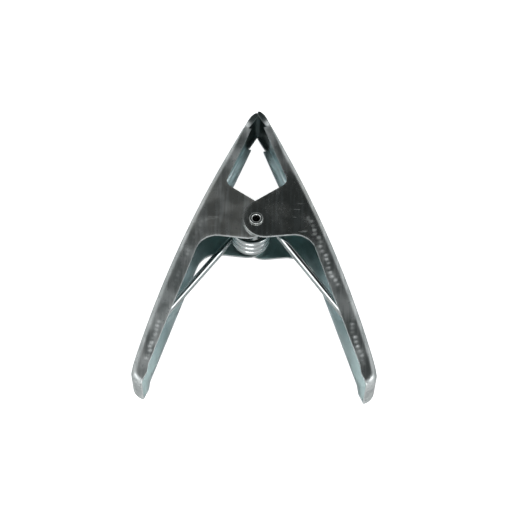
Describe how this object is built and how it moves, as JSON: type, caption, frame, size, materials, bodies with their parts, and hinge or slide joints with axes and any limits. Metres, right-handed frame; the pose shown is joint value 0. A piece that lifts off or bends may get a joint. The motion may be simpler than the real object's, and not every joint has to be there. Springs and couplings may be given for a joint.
{
  "type": "spring clamp",
  "caption": "Pressed-steel spring clamp with two channel-section jaw handles, a torsion spring between their ears and a hollow rivet as pivot.",
  "frame": {"origin": "centre of the clamp's box in plan, on the surface that it lies on", "axes": "+Z along the rivet, +Y from the handles to the jaw tips, +X towards the right handle, whose two ears are the outer ones"},
  "size_m": [0.075, 0.101, 0.0166],
  "materials": {
    "plated_sheet": "bright zinc plating on pressed sheet, scuffed at the bends",
    "spring_wire": "bright zinc plating on drawn wire",
    "rivet_steel": "bright zinc plating, rolled rims"
  },
  "bodies": {
    "left_half": {"left_jaw_handle": "plated_sheet", "hollow_rivet": "rivet_steel", "torsion_spring": "spring_wire"},
    "right_half": {"right_jaw_handle": "plated_sheet"}
  },
  "joints": [
    {"name": "jaw_pivot", "type": "hinge", "parent": "left_half", "child": "right_half", "pos_m": [0, 0.0078, 0.00831], "axis": [0, 0, -1], "range_deg": [0, 48], "stiffness_Nm_per_rad": 1.2, "springref_deg": -28.65, "deforming": ["torsion_spring"]}
  ]
}
